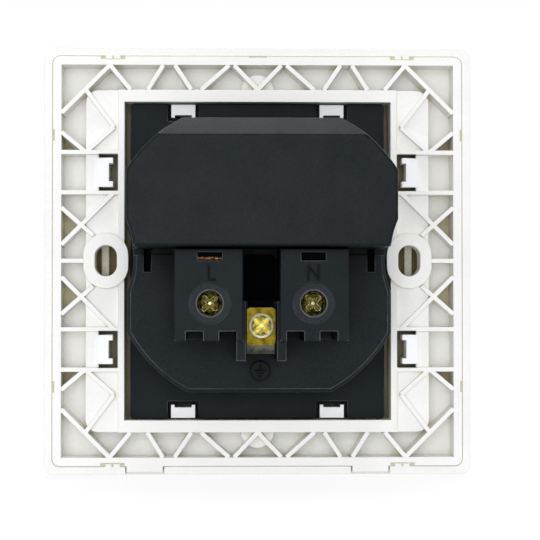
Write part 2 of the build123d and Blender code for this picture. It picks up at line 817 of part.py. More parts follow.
with BuildPart() as port_board:
    port_board_v = around(port_v, port_board_h)
    block(around(0, port_board_w), port_board_v, (port_rear, port_rear + port_board_thick))
write(port_board, "port_board")


# Charger board and the parts that stand on it
with BuildPart() as charger_board:
    with BuildSketch(WALL.offset(back_depth)):
        box_outline(box_wall + board_fit)
    extrude(amount=board_thick)
write(charger_board, "charger_board")

with BuildPart() as transformer_coil:
    coil_front = board_rear + core_plate + coil_fit
    coil_span = (coil_front, coil_front + coil_l)
    block(around(coil_u, 2 * coil_half_w), around(coil_v, 2 * coil_half_h), coil_span)
    fillet(transformer_coil.edges().filter_by(Axis.Y), cap_round)
    bore = core_center_leg + 2 * coil_fit
    block(around(coil_u, bore), around(coil_v, 2 * (core_half_h + coil_fit)), coil_span, Mode.SUBTRACT)
write(transformer_coil, "transformer_coil")

with BuildPart() as transformer_core:
    window_half = coil_half_w + coil_fit
    core_rear = coil_span[1] + coil_fit + core_plate
    core_v = around(coil_v, 2 * core_half_h)
    block(around(coil_u, 2 * (window_half + core_leg)), core_v, (board_rear, core_rear))
    core_window = (board_rear + core_plate, core_rear - core_plate)
    for side in SIDES:
        window_u = (coil_u + side * core_center_leg / 2, coil_u + side * window_half)
        block(window_u, core_v, core_window, Mode.SUBTRACT)
write(transformer_core, "transformer_core")


def capacitor(place, diameter, length, name):
    """Upright can on the charger board."""
    with BuildPart() as can:
        upright(place[0], place[1], diameter / 2, (board_rear, board_rear + length))
        fillet(can.edges().filter_by(GeomType.CIRCLE), cap_round)
    write(can, name)


def package(place, size, name):
    """Flat moulded package on the charger board."""
    with BuildPart() as body:
        block(around(place[0], size[0]), around(place[1], size[1]), (board_rear, board_rear + size[2]))
        chamfer(body.faces().sort_by(Axis.Y)[-1].edges(), size[2] / 8)
    write(body, name)


capacitor(input_cap_place, input_cap_d, input_cap_l, "input_capacitor")
capacitor(output_cap_place, output_cap_d, output_cap_l, "output_capacitor")
package(rectifier_place, rectifier_size, "bridge_rectifier")
package(chip_place, chip_size, "driver_chip")

with BuildPart() as fuse_link:
    with BuildSketch(SIDE.offset(fuse_place[0])):
        with Locations((fuse_place[1], board_rear + fuse_d / 2)):
            Circle(fuse_d / 2)
    extrude(amount=fuse_l / 2, both=True)
write(fuse_link, "fuse_link")

with BuildPart() as link_header:
    header_front = port_rear + port_board_thick
    header_span = (header_front, header_front + header_base)
    block(around(0, header_pins * header_pitch), around(port_v, header_h), header_span)
    for pin in range(header_pins):
        pin_u = (pin - (header_pins - 1) / 2) * header_pitch
        block(around(pin_u, header_pin), around(port_v, header_pin), (header_front, back_depth))
write(link_header, "link_header")


# Leads from the contacts to the charger board, bent round the edge of the base's back wall
for side, name in ((-1, "live_lead"), (1, "neutral_lead")):
    lead_u = side * (terminal_u + fork_gap / 2 + contact_sheet + lead_d / 2 + thread_fit)
    lead_run = (well_floor_rear + back_front) / 2
    lead_foot = fork_top - lead_d / 2
    with BuildPart() as lead:
        with BuildLine(SIDE.offset(lead_u)) as route:
            FilletPolyline(
                (lead_foot, lead_start),
                (lead_foot, lead_run),
                (lead_v, lead_run),
                (lead_v, back_depth),
                radius=lead_bend,
            )
        with BuildSketch(WALL.offset(lead_start)) as section:
            with Locations((lead_u, lead_foot)):
                Circle(lead_d / 2)
        sweep(section.sketch, path=route.line)
    write(lead, name)
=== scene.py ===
import math

import bmesh
import bpy
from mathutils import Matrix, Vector


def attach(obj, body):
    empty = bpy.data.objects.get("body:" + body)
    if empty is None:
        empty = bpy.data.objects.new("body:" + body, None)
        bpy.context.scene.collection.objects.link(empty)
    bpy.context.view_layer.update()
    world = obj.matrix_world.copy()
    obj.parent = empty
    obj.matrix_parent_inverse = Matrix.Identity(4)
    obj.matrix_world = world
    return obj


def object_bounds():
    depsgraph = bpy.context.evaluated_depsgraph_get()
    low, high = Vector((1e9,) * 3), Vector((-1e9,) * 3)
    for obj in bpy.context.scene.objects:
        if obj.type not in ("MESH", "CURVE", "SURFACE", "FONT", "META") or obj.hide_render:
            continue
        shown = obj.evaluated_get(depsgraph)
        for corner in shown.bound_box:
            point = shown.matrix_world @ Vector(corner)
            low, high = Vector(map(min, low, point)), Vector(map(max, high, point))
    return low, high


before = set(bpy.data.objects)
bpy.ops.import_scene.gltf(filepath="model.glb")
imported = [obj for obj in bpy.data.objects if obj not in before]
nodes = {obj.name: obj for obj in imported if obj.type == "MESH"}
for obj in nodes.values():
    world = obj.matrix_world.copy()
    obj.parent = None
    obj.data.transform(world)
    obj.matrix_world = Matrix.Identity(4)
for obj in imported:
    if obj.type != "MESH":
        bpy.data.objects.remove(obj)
cad_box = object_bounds()
scene = bpy.context.scene

# The frame is in metres, with +Y into the wall and +Z up; named sizes are in millimetres
MM = 0.001

# Depths of the model that the added pieces sit on
BACK_DEPTH = 11.0
TOWER_DEPTH = 27.0
TOWER_WALL = 1.5
EARTH_BLOCK_DEPTH = 19.8
COVER_BACK = -7.5
FRAME_REAR = -0.4
TONGUE_FRONT = -10.3

# Places across the model
TERMINAL_U = 9.5
SCREW_V = -8.4
PEEP_V = 0.2
EARTH_SCREW_V = -12.5
LATCH_U = 21.5
PORT_U = 7.4
PORT_V = 20.8
FRAME_HALF = 40.7
FRAME_CORNER = 1.5
COVER_GAP = 0.15


def place(u, v, depth):
    """Point of the frame as seen from behind: u to the right (-X), v up, depth along +Y."""
    return Vector((-u * MM, depth * MM, v * MM))


def aim_at(thing, where, target):
    """Puts a camera or lamp at one point and turns it to another."""
    thing.location = where
    thing.rotation_mode = "QUATERNION"
    thing.rotation_quaternion = (Vector(target) - Vector(where)).to_track_quat("-Z", "Y")


# Camera: a long lens behind the plate, a little to the left of its middle and below it
IMAGE_SIZE = 540
FOCAL_PIXELS = 1712.9
SHIFT_PIXELS = (17.2, -5.2)
CAMERA_PLACE = (-9.0, -7.7, 340.0)
CAMERA_TARGET = (-1.0, -0.8, 0.0)
camera_data = bpy.data.cameras.new("camera")
camera_data.sensor_width = 36.0
camera_data.lens = FOCAL_PIXELS / IMAGE_SIZE * camera_data.sensor_width
camera_data.shift_x = SHIFT_PIXELS[0] / IMAGE_SIZE
camera_data.shift_y = SHIFT_PIXELS[1] / IMAGE_SIZE
camera_data.clip_start = 0.01
camera = bpy.data.objects.new("camera", camera_data)
scene.collection.objects.link(camera)
aim_at(camera, place(*CAMERA_PLACE), place(*CAMERA_TARGET))
scene.camera = camera
scene.view_settings.view_transform = "Standard"

# Colour of the lamps and of the world's light
COOL = (0.945, 0.96, 1.0)


def area_light(name, where, target, size, power):
    """Soft rectangular lamp that points at a place, all in metres and watts."""
    data = bpy.data.lights.new(name, "AREA")
    data.shape = "RECTANGLE"
    data.size, data.size_y = size
    data.energy = power
    data.color = COOL
    lamp = bpy.data.objects.new(name, data)
    scene.collection.objects.link(lamp)
    aim_at(lamp, where, target)


# Studio light: a broad lamp overhead, a weaker one on each side of the plate
area_light("overhead", (0.04, 0.06, 0.62), (0, 0.01, 0), (0.46, 0.36), 2.6)
area_light("rear_fill", (0.06, 0.52, 0.02), (0, 0, 0), (0.35, 0.35), 1.15)
area_light("room_fill", (-0.24, -0.44, 0.26), (0, 0, 0), (0.40, 0.40), 1.2)


# Node helpers
def math_node(tree, operation, *values):
    """Math node on values that are sockets or plain numbers."""
    node = tree.nodes.new("ShaderNodeMath")
    node.operation = operation
    for socket, value in zip(node.inputs, values):
        if isinstance(value, float):
            socket.default_value = value
        else:
            tree.links.new(value, socket)
    return node.outputs[0]


def product(tree, first, *others):
    """Numbers multiplied one after the other."""
    for other in others:
        first = math_node(tree, "MULTIPLY", first, other)
    return first


def map_range(tree, value, low, high, start=0.0, end=1.0):
    """A value between two numbers, brought to lie between two others."""
    node = tree.nodes.new("ShaderNodeMapRange")
    node.inputs["From Min"].default_value = low
    node.inputs["From Max"].default_value = high
    node.inputs["To Min"].default_value = start
    node.inputs["To Max"].default_value = end
    tree.links.new(value, node.inputs["Value"])
    return node.outputs["Result"]


# World: soft light all round, weaker from the sides and along the axis, white if seen or mirrored
AMBIENT = 0.87
DIMMING = (0.45, 0.1, 0.0)
world = bpy.data.worlds.new("studio")
scene.world = world
world.use_nodes = True
sky = world.node_tree
sky.nodes.clear()
direction = sky.nodes.new("ShaderNodeTexCoord")
squared = sky.nodes.new("ShaderNodeVectorMath")
squared.operation = "MULTIPLY"
sky.links.new(direction.outputs["Generated"], squared.inputs[0])
sky.links.new(direction.outputs["Generated"], squared.inputs[1])
dimmed = sky.nodes.new("ShaderNodeVectorMath")
dimmed.operation = "DOT_PRODUCT"
dimmed.inputs[1].default_value = DIMMING
sky.links.new(squared.outputs["Vector"], dimmed.inputs[0])
kept = math_node(sky, "SUBTRACT", 1.0, dimmed.outputs["Value"])
even = sky.nodes.new("ShaderNodeBackground")
even.inputs["Color"].default_value = (*COOL, 1)
sky.links.new(math_node(sky, "MULTIPLY", kept, AMBIENT), even.inputs["Strength"])
white = sky.nodes.new("ShaderNodeBackground")
white.inputs["Color"].default_value = (1, 1, 1, 1)
white.inputs["Strength"].default_value = 1.0
ray = sky.nodes.new("ShaderNodeLightPath")
mirrored = math_node(
    sky, "MAXIMUM", ray.outputs["Is Glossy Ray"], ray.outputs["Is Transmission Ray"]
)
seen = math_node(sky, "MAXIMUM", ray.outputs["Is Camera Ray"], mirrored)
choose = sky.nodes.new("ShaderNodeMixShader")
sky.links.new(seen, choose.inputs["Fac"])
sky.links.new(even.outputs[0], choose.inputs[1])
sky.links.new(white.outputs[0], choose.inputs[2])
sky_out = sky.nodes.new("ShaderNodeOutputWorld")
sky.links.new(choose.outputs[0], sky_out.inputs["Surface"])

# Values that the materials share: scales are in patches per metre, lengths in millimetres
NOISE_SPAN = (0.3, 0.7)
BEVEL_SAMPLES = 6
EDGE_TURN = (0.985, 0.87)
REAR_FACING = 0.5
CLOUD_SCALE = 130.0
WAVE_SCALE = 90.0
EDGE_HIGHLIGHT_PATCH_SCALE = 500.0
EDGE_HIGHLIGHT_REACH = 0.3
PLASTIC_EDGE = 0.2
CREVICE_SAMPLES = 12
SCRATCH_SCALE = 2500.0
TARNISH_SCALE = 900.0
GLINT_PATCH_SCALE = 1300.0
STREAK_SHARE = 0.7
METAL_HIGHLIGHT_REACH = 0.16
METAL_EDGE = 0.1


def grey(level):
    """Neutral colour of one level."""
    return (level, level, level)


def new_material(name):
    """Material with a Principled shader; gives the material, its tree and the shader."""
    made = bpy.data.materials.new(name)
    made.use_nodes = True
    return made, made.node_tree, made.node_tree.nodes["Principled BSDF"]


def noise(tree, scale, detail=3.0, stretch=(1, 1, 1)):
    """Noise in the object's own space, about one patch per 1/scale metres."""
    space = tree.nodes.new("ShaderNodeTexCoord")
    spread = tree.nodes.new("ShaderNodeMapping")
    spread.inputs["Scale"].default_value = stretch
    cloud = tree.nodes.new("ShaderNodeTexNoise")
    cloud.inputs["Scale"].default_value = scale
    cloud.inputs["Detail"].default_value = detail
    tree.links.new(space.outputs["Object"], spread.inputs["Vector"])
    tree.links.new(spread.outputs["Vector"], cloud.inputs["Vector"])
    return cloud.outputs["Fac"]


def ramp(tree, value, colours, span=NOISE_SPAN):
    """Fades from one colour to another while a value crosses a span."""
    node = tree.nodes.new("ShaderNodeValToRGB")
    for element, where, colour in zip(node.color_ramp.elements, span, colours):
        element.position = where
        element.color = (*colour, 1.0)
    tree.links.new(value, node.inputs["Fac"])
    return node.outputs["Color"]


def blend(tree, mode, share, first, second):
    """Two colours mixed; share is a number or a socket."""
    node = tree.nodes.new("ShaderNodeMix")
    node.data_type = "RGBA"
    node.blend_type = mode
    colours = [s for s in node.inputs if s.type == "RGBA"]
    factor = node.inputs["Factor"]
    if isinstance(share, float):
        factor.default_value = share
    else:
        tree.links.new(share, factor)
    tree.links.new(first, colours[0])
    tree.links.new(second, colours[1])
    return next(s for s in node.outputs if s.type == "RGBA")


def rounded_normal(tree, radius):
    """Normal over edges that look rounded by a radius in millimetres."""
    rounded = tree.nodes.new("ShaderNodeBevel")
    rounded.samples = BEVEL_SAMPLES
    rounded.inputs["Radius"].default_value = radius * MM
    return rounded.outputs["Normal"]


def bump(tree, shader, layers, edge):
    """Stacks bumps on a shader over rounded edges; each layer is a height socket and its depth
    in millimetres."""
    last = rounded_normal(tree, edge)
    for height, depth in layers:
        node = tree.nodes.new("ShaderNodeBump")
        node.inputs["Strength"].default_value = 1.0
        node.inputs["Distance"].default_value = depth * MM
        tree.links.new(height, node.inputs["Height"])
        tree.links.new(last, node.inputs["Normal"])
        last = node.outputs["Normal"]
    tree.links.new(last, shader.inputs["Normal"])


def edge_share(tree, radius):
    """How far a point lies on an edge: by the turn from the plain to the rounded normal."""
    surface = tree.nodes.new("ShaderNodeNewGeometry")
    turn = tree.nodes.new("ShaderNodeVectorMath")
    turn.operation = "DOT_PRODUCT"
    tree.links.new(rounded_normal(tree, radius), turn.inputs[0])
    tree.links.new(surface.outputs["Normal"], turn.inputs[1])
    return map_range(tree, turn.outputs["Value"], *EDGE_TURN)


def own_axes(tree, output="Object"):
    """The three numbers of a point, or of its normal, in the object's own space."""
    space = tree.nodes.new("ShaderNodeTexCoord")
    axes = tree.nodes.new("ShaderNodeSeparateXYZ")
    tree.links.new(space.outputs[output], axes.inputs["Vector"])
    return axes.outputs


def inner_share(tree, depth):
    """One on the faces that are turned to the rear and lie in front of a depth, else none."""
    deep = math_node(tree, "LESS_THAN", own_axes(tree)["Y"], depth * MM)
    rear = math_node(tree, "GREATER_THAN", own_axes(tree, "Normal")["Y"], REAR_FACING)
    return product(tree, deep, rear)


def span_share(tree, value, low, high):
    """Runs from none to one while a length in metres goes between two millimetre values."""
    return map_range(tree, value, low * MM, high * MM)


def depth_share(tree, low, high):
    """Runs from none at one depth to one at another."""
    return span_share(tree, own_axes(tree)["Y"], low, high)


def radius_from(tree, centre):
    """Distance in metres from a pair of axes along the depth, at plus and minus u and one v."""
    axes = own_axes(tree)
    flat = tree.nodes.new("ShaderNodeCombineXYZ")
    tree.links.new(math_node(tree, "ABSOLUTE", axes["X"]), flat.inputs["X"])
    tree.links.new(axes["Z"], flat.inputs["Z"])
    away = tree.nodes.new("ShaderNodeVectorMath")
    away.operation = "DISTANCE"
    away.inputs[1].default_value = (centre[0] * MM, 0.0, centre[1] * MM)
    tree.links.new(flat.outputs["Vector"], away.inputs[0])
    return away.outputs["Value"]


def moulded(
    name, colours, gloss, specular, grain, grain_depth, wave_depth,
    crevice_shade=None, edge_highlight=None, inner=None, lighter_tone=None, ring=None,
):
    """Moulded plastic: clouded colour, a fine die texture and slow waves from shrinkage. Painted
    shade in crevices comes as a reach, the tint of what lies closed in by it, and the open
    shares between which the tint fades. A painted highlight on outer edges comes as its colour
    and needs the crevice shade. Inner is a depth and the tints of painted shade on rear faces in
    front of it. A lighter tone comes as two depths and the colours that the plastic takes from
    one to the other. Ring is the centre of a hole pair, the radii between which the painted
    highlight round it fades out, and the depths between which it comes up."""
    made, tree, shader = new_material(name)
    fine = noise(tree, grain)
    cloud = noise(tree, CLOUD_SCALE)
    tint = ramp(tree, cloud, (grey(0.95), grey(1.0)))
    colour = blend(tree, "MULTIPLY", 1.0, ramp(tree, fine, colours), tint)
    # Painted shade: the colour darkens where ambient occlusion finds the surface closed in
    if crevice_shade:
        reach, shade_tint, *fade = crevice_shade
        occlusion = tree.nodes.new("ShaderNodeAmbientOcclusion")
        occlusion.samples = CREVICE_SAMPLES
        occlusion.inputs["Distance"].default_value = reach * MM
        open_share = occlusion.outputs["AO"]
        shade = ramp(tree, open_share, (shade_tint, grey(1.0)), fade)
        colour = blend(tree, "MULTIPLY", 1.0, colour, shade)
    # Lighter tone by depth: painted light on the insert's clips and slot rib tops, lighter
    # collars
    if lighter_tone:
        start, end, *lighter_colours = lighter_tone
        lighter_ramp = ramp(tree, fine, lighter_colours)
        colour = blend(tree, "MIX", depth_share(tree, start, end), colour, lighter_ramp)
    # Painted highlight: outer, open edges lightened in patches
    if edge_highlight:
        outer = ramp(tree, open_share, (grey(0.0), grey(1.0)), (0.55, 0.8))
        patchy = ramp(tree, noise(tree, EDGE_HIGHLIGHT_PATCH_SCALE), (grey(0.45), grey(1.0)), (0.3, 0.6))
        highlight_colour = ramp(tree, fine, (edge_highlight, edge_highlight))
        share = product(tree, edge_share(tree, EDGE_HIGHLIGHT_REACH), outer, patchy)
        colour = blend(tree, "MIX", share, colour, highlight_colour)
        # Painted highlight: a lighter ring round each screw hole on the collars
        if ring:
            centre, inside, outside, depths = ring
            near = span_share(tree, radius_from(tree, centre), outside, inside)
            share = product(tree, near, depth_share(tree, *depths), patchy)
            colour = blend(tree, "MIX", share, colour, highlight_colour)
    # Painted shade: rear faces in front of a depth take darker tints
    if inner:
        depth, *painted_shade_tints = inner
        share = inner_share(tree, depth)
        colour = blend(tree, "MULTIPLY", share, colour, ramp(tree, cloud, painted_shade_tints))
    tree.links.new(colour, shader.inputs["Base Color"])
    tree.links.new(map_range(tree, cloud, *NOISE_SPAN, *gloss), shader.inputs["Roughness"])
    shader.inputs["Specular IOR Level"].default_value = specular
    layers = ((noise(tree, WAVE_SCALE, 1.0), wave_depth), (fine, grain_depth))
    bump(tree, shader, layers, PLASTIC_EDGE)
    return made


def metal(
    name, colours, gloss, stretch, scratch_depth, dark_reflection=None, bright=None, patch=TARNISH_SCALE
):
    """Bare or plated metal: clouded tarnish and fine drawn scratches. A painted dark reflection
    comes as two depths and the tints of the metal there. Bright is the colour of a painted
    highlight on its edges. Patch is the scale of the tarnish."""
    made, tree, shader = new_material(name)
    scratch = noise(tree, SCRATCH_SCALE, 4.0, stretch)
    tarnish = noise(tree, patch, 5.0)
    plain = ramp(tree, tarnish, colours, (0.35, 0.62))
    streak = ramp(tree, scratch, ((0.78, 0.76, 0.74), grey(1.0)), (0.3, 0.6))
    colour = blend(tree, "MULTIPLY", STREAK_SHARE, plain, streak)
    # Painted dark reflection: the metal darkens from one depth to the other
    if dark_reflection:
        start, end, *tints = dark_reflection
        reflection_darkening = ramp(tree, depth_share(tree, start, end), tints, (0.35, 0.9))
        colour = blend(tree, "MULTIPLY", 1.0, colour, reflection_darkening)
    # Painted highlight on the edges, broken into patches
    if bright:
        patchy = ramp(tree, noise(tree, GLINT_PATCH_SCALE), (grey(0.1), grey(1.0)), (0.38, 0.58))
        share = product(tree, edge_share(tree, METAL_HIGHLIGHT_REACH), patchy)
        colour = blend(tree, "MIX", share, colour, ramp(tree, scratch, (bright, bright)))
    tree.links.new(colour, shader.inputs["Base Color"])
    tree.links.new(map_range(tree, tarnish, *NOISE_SPAN, *gloss), shader.inputs["Roughness"])
    shader.inputs["Metallic"].default_value = 1.0
    bump(tree, shader, ((scratch, scratch_depth),), METAL_EDGE)
    return made


# Values of the screws alone
SCREW_GLOSS = (0.2, 0.38)
SCREW_SPECULAR = 0.04
SCREW_TARNISH_SCALE = 1500.0
DENT_SCALE = 1200.0
SCREW_SCRATCH = 0.03
SCREW_GLINT_REACH = 0.2
GLINT_SPAN = (0.42, 0.1)
RECESS_FADE = 0.1


def screw_head(
    name, centre, dome, recess, rim, glint, recess_top, recess_r, rim_span, metallic, dents
):
    """Brass screw with painted reflections: a darker dome, a brighter cross recess and a brighter
    rim round its axis, with glints as painted highlights. Dome, recess and rim are dark and light
    colours; glint is the colour of sharp edges and of the middle. Dents is their depth."""
    made, tree, shader = new_material(name)
    scratch = noise(tree, SCRATCH_SCALE, 4.0, (3, 3, 3))
    tarnish = noise(tree, SCREW_TARNISH_SCALE, 5.0)
    radius = radius_from(tree, centre)
    # Painted reflections: a dark dome, a brighter rim and a brighter recess, by radius and depth
    colour = ramp(tree, tarnish, dome, (0.4, 0.62))
    lighter_tone = ramp(tree, tarnish, rim, (0.38, 0.58))
    colour = blend(tree, "MIX", span_share(tree, radius, *rim_span), colour, lighter_tone)
    sunk = product(
        tree,
        depth_share(tree, recess_top, recess_top - RECESS_FADE),
        span_share(tree, radius, recess_r, recess_r - RECESS_FADE),
    )
    colour = blend(tree, "MIX", sunk, colour, ramp(tree, tarnish, recess, (0.38, 0.6)))
    # Painted highlights: glints in the middle and along sharp edges
    spark = ramp(tree, scratch, (glint, glint))
    colour = blend(tree, "MIX", span_share(tree, radius, *GLINT_SPAN), colour, spark)
    patchy = ramp(tree, noise(tree, GLINT_PATCH_SCALE), (grey(0.03), grey(1.0)), (0.44, 0.57))
    share = product(tree, edge_share(tree, SCREW_GLINT_REACH), patchy)
    colour = blend(tree, "MIX", share, colour, spark)
    tree.links.new(colour, shader.inputs["Base Color"])
    roughness = map_range(tree, tarnish, *NOISE_SPAN, *SCREW_GLOSS)
    tree.links.new(roughness, shader.inputs["Roughness"])
    shader.inputs["Metallic"].default_value = metallic
    shader.inputs["Specular IOR Level"].default_value = SCREW_SPECULAR
    layers = ((scratch, SCREW_SCRATCH), (noise(tree, DENT_SCALE), dents))
    bump(tree, shader, layers, METAL_EDGE)
    return made


# Looks that several white or black pieces share; colours are dark and light
WHITE_COLOURS = ((0.885, 0.875, 0.82), (0.925, 0.915, 0.865))
WHITE_GLOSS = (0.28, 0.4)
WHITE_GRAIN = 2600.0
WHITE_CREVICE_SHADE = (2.2, (0.90, 0.86, 0.72), 0.1, 0.5)
BLACK_COLOURS = ((0.003, 0.0065, 0.008), (0.0105, 0.0165, 0.018))
BLACK_GLOSS = (0.36, 0.48)
BLACK_GRAIN = 4600.0
BLACK_CREVICE_SHADE = (9.0, (0.04, 0.04, 0.04), 0.18, 0.7)
BLACK_EDGE_HIGHLIGHT = (0.19, 0.205, 0.215)

# Plastics of the inner pieces by slot: colours, gloss, specular, grain, depths of grain and waves
PLAIN_PLASTICS = {
    "circuit_board": (
        ((0.012, 0.10, 0.045), (0.02, 0.17, 0.075)), (0.3, 0.45), 0.5, 1800.0, 0.01, 0.01
    ),
    "ferrite": (
        ((0.03, 0.03, 0.032), (0.075, 0.073, 0.07)), (0.5, 0.7), 0.4, 4000.0, 0.03, 0.01
    ),
    "winding_tape": (
        ((0.72, 0.52, 0.05), (0.86, 0.66, 0.1)), (0.25, 0.4), 0.5, 700.0, 0.02, 0.03
    ),
    "capacitor_sleeve": (
        ((0.02, 0.022, 0.05), (0.035, 0.04, 0.085)), (0.2, 0.3), 0.5, 2400.0, 0.01, 0.02
    ),
    "chip_resin": (
        ((0.014, 0.014, 0.015), (0.03, 0.03, 0.03)), (0.5, 0.65), 0.4, 5000.0, 0.02, 0.01
    ),
    "fuse_body": (
        ((0.55, 0.50, 0.40), (0.70, 0.66, 0.55)), (0.25, 0.4), 0.5, 1600.0, 0.01, 0.01
    ),
    "header_plastic": (
        ((0.016, 0.016, 0.018), (0.03, 0.03, 0.032)), (0.4, 0.5), 0.5, 5000.0, 0.015, 0.01
    ),
    "tongue_plastic": (
        ((0.80, 0.80, 0.78), (0.88, 0.88, 0.86)), (0.35, 0.5), 0.5, 3000.0, 0.01, 0.01
    ),
    "brown_lead": (
        ((0.10, 0.04, 0.018), (0.16, 0.066, 0.03)), (0.35, 0.5), 0.5, 2600.0, 0.01, 0.02
    ),
    "blue_lead": (
        ((0.015, 0.06, 0.24), (0.028, 0.10, 0.36)), (0.35, 0.5), 0.5, 2600.0, 0.01, 0.02
    ),
}
finish = {slot: moulded(slot, *values) for slot, values in PLAIN_PLASTICS.items()}

# Materials of the casing and of the metal pieces, by the record's slot names
# White plastic: painted shade in its crevices
finish["white_plastic"] = moulded(
    "white_plastic", WHITE_COLOURS, WHITE_GLOSS, specular=0.4,
    grain=WHITE_GRAIN, grain_depth=0.004, wave_depth=0.03, crevice_shade=WHITE_CREVICE_SHADE,
)
# Black plastic: painted shade in its crevices and painted highlights on its outer edges
finish["black_plastic"] = moulded(
    "black_plastic", BLACK_COLOURS, BLACK_GLOSS, specular=0.085,
    grain=BLACK_GRAIN, grain_depth=0.03, wave_depth=0.03,
    crevice_shade=BLACK_CREVICE_SHADE, edge_highlight=BLACK_EDGE_HIGHLIGHT,
)
finish["contact_copper"] = metal(
    "contact_copper", ((0.55, 0.22, 0.09), (0.85, 0.42, 0.2)),
    gloss=(0.25, 0.4), stretch=(1, 1, 8), scratch_depth=0.004,
)
# Steel: painted dark reflection towards the rear and painted highlights on its edges
finish["zinc_steel"] = metal(
    "zinc_steel", ((0.20, 0.20, 0.185), (0.62, 0.62, 0.57)),
    gloss=(0.28, 0.45), stretch=(8, 8, 1), scratch_depth=0.02,
    dark_reflection=(8.0, 15.0, grey(1.0), (0.20, 0.20, 0.165)), bright=(0.66, 0.66, 0.6),
)
# Earth screw: dome, recess, rim and glint colours are painted reflections and highlights
finish["brass_screw"] = screw_head(
    "brass_screw", (0.0, EARTH_SCREW_V),
    dome=((0.12, 0.095, 0.02), (0.38, 0.31, 0.07)),
    recess=((0.50, 0.40, 0.02), (0.90, 0.78, 0.13)),
    rim=((0.95, 0.89, 0.50), (1.0, 0.98, 0.70)),
    glint=(1.0, 0.94, 0.58),
    recess_top=25.0, recess_r=1.9, rim_span=(1.8, 2.0), metallic=0.28, dents=0.1,
)
# Saddle: painted highlights on its edges
finish["brass_sheet"] = metal(
    "brass_sheet", ((0.060, 0.041, 0.002), (0.165, 0.124, 0.012)),
    gloss=(0.3, 0.46), stretch=(8, 8, 1), scratch_depth=0.008, bright=(0.45, 0.36, 0.09),
)
finish["port_steel"] = metal(
    "port_steel", ((0.52, 0.52, 0.51), (0.78, 0.78, 0.77)),
    gloss=(0.2, 0.34), stretch=(1, 8, 1), scratch_depth=0.004,
)

# Variants: painted shade inside, painted light on clips, lighter collars, painted screw
# reflections
COLLAR_TONE = (TOWER_DEPTH + 0.05, TOWER_DEPTH + 0.25)
COLLAR_RING = (TOWER_DEPTH + 0.1, TOWER_DEPTH + 0.25)
COLLAR_FADE = (2.35, 2.65)
# Cover: painted shade, tan, on its rear faces in front of its back
cover_white = moulded(
    "cover_white", WHITE_COLOURS, WHITE_GLOSS, specular=0.35,
    grain=WHITE_GRAIN, grain_depth=0.004, wave_depth=0.025,
    crevice_shade=WHITE_CREVICE_SHADE, inner=(-7.0, (0.78, 0.70, 0.46), (0.88, 0.80, 0.56)),
)
# Insert: painted shade on its rear flange faces, painted light on its clip tops
insert_white = moulded(
    "insert_white", WHITE_COLOURS, WHITE_GLOSS, specular=0.18,
    grain=WHITE_GRAIN, grain_depth=0.004, wave_depth=0.025,
    crevice_shade=WHITE_CREVICE_SHADE, inner=(-5.0, (0.16, 0.148, 0.074), (0.22, 0.205, 0.11)),
    lighter_tone=(-4.0, -3.0, (0.965, 0.968, 0.965), (0.99, 0.992, 0.99)),
)
# Base: painted crevice shade and edge highlights, lighter collars, painted highlights round holes
base_black = moulded(
    "base_black", BLACK_COLOURS, BLACK_GLOSS, specular=0.085,
    grain=BLACK_GRAIN, grain_depth=0.03, wave_depth=0.03,
    crevice_shade=BLACK_CREVICE_SHADE, edge_highlight=BLACK_EDGE_HIGHLIGHT,
    lighter_tone=(*COLLAR_TONE, (0.011, 0.014, 0.0165), (0.025, 0.029, 0.033)),
    ring=((TERMINAL_U, SCREW_V), *COLLAR_FADE, COLLAR_RING),
)
# Charger box: painted shade in its crevices and painted highlights on its outer edges
box_black = moulded(
    "box_black", ((0.0003, 0.0018, 0.0026), (0.0040, 0.0088, 0.0098)), (0.30, 0.42),
    specular=0.118, grain=3600.0, grain_depth=0.05, wave_depth=0.03,
    crevice_shade=BLACK_CREVICE_SHADE, edge_highlight=BLACK_EDGE_HIGHLIGHT,
)
# Terminal screws: painted dark reflections with painted glints
brass_dark_reflection = screw_head(
    "brass_dark_reflection", (TERMINAL_U, SCREW_V),
    dome=((0.004, 0.003, 0.001), (0.06, 0.047, 0.006)),
    recess=((0.012, 0.010, 0.002), (0.15, 0.122, 0.022)),
    rim=((0.003, 0.0025, 0.001), (0.34, 0.29, 0.09)),
    glint=(0.80, 0.74, 0.42),
    recess_top=24.85, recess_r=1.95, rim_span=(1.85, 2.05), metallic=0.6, dents=0.25,
)

# Materials of the added pieces
# Marks: painted shade, darker than the block, with painted highlights on their edges
mark_black = moulded(
    "mark_black", ((0.0004, 0.0008, 0.001), (0.0016, 0.0026, 0.003)), (0.42, 0.54),
    specular=0.035, grain=BLACK_GRAIN, grain_depth=0.02, wave_depth=0.02,
    crevice_shade=BLACK_CREVICE_SHADE, edge_highlight=(0.034, 0.038, 0.042),
)
# Slot ribs: painted shade, brown on the foot plate, lighter up the rib
rib_painted_shade = moulded(
    "rib_painted_shade", ((0.115, 0.088, 0.03), (0.19, 0.15, 0.06)), (0.3, 0.45),
    specular=0.08, grain=WHITE_GRAIN, grain_depth=0.004, wave_depth=0.05,
    lighter_tone=(COVER_BACK + 0.4, COVER_BACK + 1.1, (0.56, 0.53, 0.42), (0.70, 0.66, 0.54)),
)
# Gap fill: tan colour standing in for the lit gap, painted light
gap_fill_tan = moulded(
    "gap_fill_tan", ((0.55, 0.52, 0.34), (0.70, 0.66, 0.46)), (0.6, 0.8),
    specular=0.1, grain=WHITE_GRAIN, grain_depth=0.02, wave_depth=0.02,
)
# Matte near-black for pieces that stand in for shade
shade_black = moulded(
    "shade_black", ((0.002, 0.0025, 0.003), (0.004, 0.005, 0.006)), (0.7, 0.85),
    specular=0.0, grain=BLACK_GRAIN, grain_depth=0.02, wave_depth=0.02,
)
